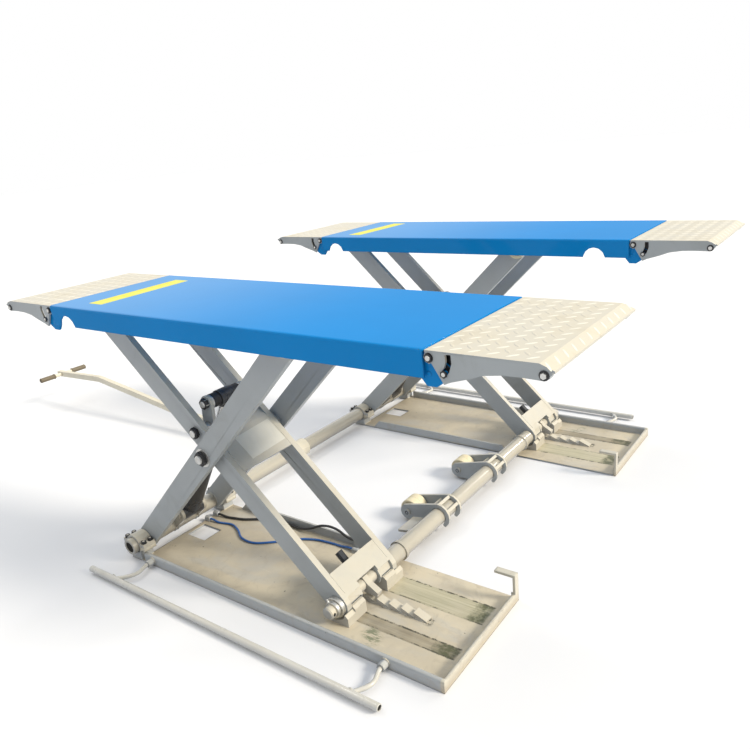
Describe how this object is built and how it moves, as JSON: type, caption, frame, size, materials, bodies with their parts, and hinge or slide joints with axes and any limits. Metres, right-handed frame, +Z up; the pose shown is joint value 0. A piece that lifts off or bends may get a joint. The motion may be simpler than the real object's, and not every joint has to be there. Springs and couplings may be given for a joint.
{
  "type": "portable scissor car lift",
  "caption": "Portable mid-rise car lift: twin scissor decks with fold-down ramps, joined by torsion tubes, with base trays, safety racks, rollers and a tow bar.",
  "frame": {"origin": "centre of the bounding box at floor level", "axes": "+Z up, +X from the tow bar towards the front ramps, +Y towards the left unit"},
  "size_m": [3.5397, 2.0014, 0.926],
  "materials": {
    "grey_paint": "satin, light wear",
    "warm_grey_paint": "satin, scuffed",
    "blue_paint": "gloss powder coat",
    "tread_plate": "satin painted tread plate",
    "polished_steel": "bright",
    "black_steel": "satin black",
    "cream_nylon": "matte",
    "black_rubber": "matte",
    "black_grip": "satin",
    "blue_hose": "gloss"
  },
  "bodies": {
    "base": {"right_base_tray": "warm_grey_paint", "right_safety_rack": "grey_paint", "right_guard_bar": "grey_paint", "right_clamp_cap_outer": "grey_paint", "right_clamp_cap_inner": "grey_paint", "left_base_tray": "warm_grey_paint", "left_safety_rack": "grey_paint", "left_guard_bar": "grey_paint", "left_clamp_cap_outer": "grey_paint", "left_clamp_cap_inner": "grey_paint", "hydraulic_hose": "black_rubber", "air_hose": "blue_hose"},
    "outer_frame": {"rear_torsion_tube": "warm_grey_paint", "right_outer_leg_outer": "grey_paint", "right_outer_leg_inner": "grey_paint", "right_centre_bolt_outer": "black_steel", "right_centre_bolt_inner": "black_steel", "left_outer_leg_outer": "grey_paint", "left_outer_leg_inner": "grey_paint", "left_centre_bolt_outer": "black_steel", "left_centre_bolt_inner": "black_steel"},
    "inner_frame": {"right_inner_frame": "grey_paint", "right_link_bolt_outer": "black_steel", "right_link_bolt_inner": "black_steel", "right_slide_shaft": "warm_grey_paint", "right_pawl_air_cylinder": "black_steel", "left_inner_frame": "grey_paint", "left_link_bolt_outer": "black_steel", "left_link_bolt_inner": "black_steel", "left_slide_shaft": "warm_grey_paint", "left_pawl_air_cylinder": "black_steel"},
    "front_axle": {"front_torsion_tube": "warm_grey_paint", "right_roller_carriage": "warm_grey_paint", "left_roller_carriage": "warm_grey_paint"},
    "right_deck": {"right_deck": "blue_paint"},
    "right_shoes": {"right_slide_shoe_outer": "grey_paint", "right_slide_shoe_inner": "grey_paint"},
    "right_upper_rollers": {"right_upper_roller_outer": "cream_nylon", "right_upper_roller_inner": "cream_nylon"},
    "right_link": {"right_lift_link": "grey_paint"},
    "right_rod": {"right_cylinder_rod": "polished_steel"},
    "right_barrel": {"right_cylinder_barrel": "black_steel"},
    "right_pawl": {"right_pawl": "grey_paint"},
    "right_front_ramp": {"right_front_ramp": "tread_plate"},
    "right_rear_ramp": {"right_rear_ramp": "tread_plate"},
    "right_transport_roller": {"right_transport_roller": "cream_nylon"},
    "left_deck": {"left_deck": "blue_paint"},
    "left_shoes": {"left_slide_shoe_outer": "grey_paint", "left_slide_shoe_inner": "grey_paint"},
    "left_upper_rollers": {"left_upper_roller_outer": "cream_nylon", "left_upper_roller_inner": "cream_nylon"},
    "left_link": {"left_lift_link": "grey_paint"},
    "left_rod": {"left_cylinder_rod": "polished_steel"},
    "left_barrel": {"left_cylinder_barrel": "black_steel"},
    "left_pawl": {"left_pawl": "grey_paint"},
    "left_front_ramp": {"left_front_ramp": "tread_plate"},
    "left_rear_ramp": {"left_rear_ramp": "tread_plate"},
    "left_transport_roller": {"left_transport_roller": "cream_nylon"},
    "tow_bar": {"tow_bar": "grey_paint", "tow_handle": "black_grip"}
  },
  "joints": [
    {"name": "lift", "type": "hinge", "parent": "base", "child": "outer_frame", "pos_m": [0.1645, 0, 0.058], "axis": [0, -1, 0], "range_deg": [-39.97, 0]},
    {"name": "scissor", "type": "hinge", "parent": "outer_frame", "child": "inner_frame", "pos_m": [0.60068, 0, 0.47], "axis": [0, -1, 0], "range_deg": [0, 79.94]},
    {"name": "front_axle_level", "type": "hinge", "parent": "inner_frame", "child": "front_axle", "pos_m": [1.03687, 0, 0.058], "axis": [0, -1, 0], "range_deg": [-39.98, 0]},
    {"name": "right_deck_level", "type": "hinge", "parent": "inner_frame", "child": "right_deck", "pos_m": [0.1645, -0.64575, 0.882], "axis": [0, -1, 0], "range_deg": [-39.98, 0]},
    {"name": "right_shoes_level", "type": "hinge", "parent": "inner_frame", "child": "right_shoes", "pos_m": [1.03687, -0.64575, 0.058], "axis": [0, -1, 0], "range_deg": [-39.98, 0]},
    {"name": "right_upper_rollers_level", "type": "hinge", "parent": "outer_frame", "child": "right_upper_rollers", "pos_m": [1.03687, -0.64575, 0.882], "axis": [0, -1, 0], "range_deg": [0, 39.98]},
    {"name": "right_link_turn", "type": "hinge", "parent": "inner_frame", "child": "right_link", "pos_m": [0.53962, -0.64575, 0.52768], "axis": [0, -1, 0], "range_deg": [0, 24.04]},
    {"name": "right_rod_turn", "type": "hinge", "parent": "right_link", "child": "right_rod", "pos_m": [0.54937, -0.64575, 0.60708], "axis": [0, -1, 0], "range_deg": [-108.09, 0]},
    {"name": "right_cylinder_stroke", "type": "slide", "parent": "right_rod", "child": "right_barrel", "axis": [0.5447, 0, 0.8387], "range_m": [0, 0.21665]},
    {"name": "right_pawl_turn", "type": "hinge", "parent": "right_shoes", "child": "right_pawl", "pos_m": [1.03687, -0.64575, 0.058], "axis": [0, -1, 0], "range_deg": [-15, 0]},
    {"name": "right_front_ramp_hinge", "type": "hinge", "parent": "right_deck", "child": "right_front_ramp", "pos_m": [1.5005, -0.64575, 0.909], "axis": [0, -1, 0], "range_deg": [-32, 0]},
    {"name": "right_rear_ramp_hinge", "type": "hinge", "parent": "right_deck", "child": "right_rear_ramp", "pos_m": [0.0725, -0.64575, 0.909], "axis": [0, 1, 0], "range_deg": [-32, 0]},
    {"name": "right_transport_roller_spin", "type": "hinge", "parent": "front_axle", "child": "right_transport_roller", "pos_m": [0.90347, 0, 0.0405], "axis": [0, -1, 0], "continuous": true},
    {"name": "left_deck_level", "type": "hinge", "parent": "inner_frame", "child": "left_deck", "pos_m": [0.1645, 0.64575, 0.882], "axis": [0, -1, 0], "range_deg": [-39.98, 0]},
    {"name": "left_shoes_level", "type": "hinge", "parent": "inner_frame", "child": "left_shoes", "pos_m": [1.03687, 0.64575, 0.058], "axis": [0, -1, 0], "range_deg": [-39.98, 0]},
    {"name": "left_upper_rollers_level", "type": "hinge", "parent": "outer_frame", "child": "left_upper_rollers", "pos_m": [1.03687, 0.64575, 0.882], "axis": [0, -1, 0], "range_deg": [0, 39.98]},
    {"name": "left_link_turn", "type": "hinge", "parent": "inner_frame", "child": "left_link", "pos_m": [0.53962, 0.64575, 0.52768], "axis": [0, -1, 0], "range_deg": [0, 24.04]},
    {"name": "left_rod_turn", "type": "hinge", "parent": "left_link", "child": "left_rod", "pos_m": [0.54937, 0.64575, 0.60708], "axis": [0, -1, 0], "range_deg": [-108.09, 0]},
    {"name": "left_cylinder_stroke", "type": "slide", "parent": "left_rod", "child": "left_barrel", "axis": [0.5447, 0, 0.8387], "range_m": [0, 0.21665]},
    {"name": "left_pawl_turn", "type": "hinge", "parent": "left_shoes", "child": "left_pawl", "pos_m": [1.03687, 0.64575, 0.058], "axis": [0, -1, 0], "range_deg": [-15, 0]},
    {"name": "left_front_ramp_hinge", "type": "hinge", "parent": "left_deck", "child": "left_front_ramp", "pos_m": [1.5005, 0.64575, 0.909], "axis": [0, -1, 0], "range_deg": [-32, 0]},
    {"name": "left_rear_ramp_hinge", "type": "hinge", "parent": "left_deck", "child": "left_rear_ramp", "pos_m": [0.0725, 0.64575, 0.909], "axis": [0, 1, 0], "range_deg": [-32, 0]},
    {"name": "left_transport_roller_spin", "type": "hinge", "parent": "front_axle", "child": "left_transport_roller", "pos_m": [0.90347, 0, 0.0405], "axis": [0, -1, 0], "continuous": true},
    {"name": "tow_bar_pivot", "type": "hinge", "parent": "base", "child": "tow_bar", "pos_m": [0.1645, 0, 0.058], "axis": [0, 1, 0], "range_deg": [-4, 45]}
  ],
  "couplings": [
    {"joint": "scissor", "follows": "lift", "ratio": -2},
    {"joint": "front_axle_level", "follows": "lift", "ratio": 1},
    {"joint": "right_deck_level", "follows": "lift", "ratio": 1},
    {"joint": "right_shoes_level", "follows": "lift", "ratio": 1},
    {"joint": "right_upper_rollers_level", "follows": "lift", "ratio": -1},
    {"joint": "right_link_turn", "follows": "lift", "ratio": -0.60133},
    {"joint": "right_rod_turn", "follows": "lift", "ratio": 2.7042},
    {"joint": "right_cylinder_stroke", "follows": "lift", "m_per_rad": -0.30987},
    {"joint": "left_deck_level", "follows": "lift", "ratio": 1},
    {"joint": "left_shoes_level", "follows": "lift", "ratio": 1},
    {"joint": "left_upper_rollers_level", "follows": "lift", "ratio": -1},
    {"joint": "left_link_turn", "follows": "lift", "ratio": -0.60133},
    {"joint": "left_rod_turn", "follows": "lift", "ratio": 2.7042},
    {"joint": "left_cylinder_stroke", "follows": "lift", "m_per_rad": -0.30987}
  ]
}
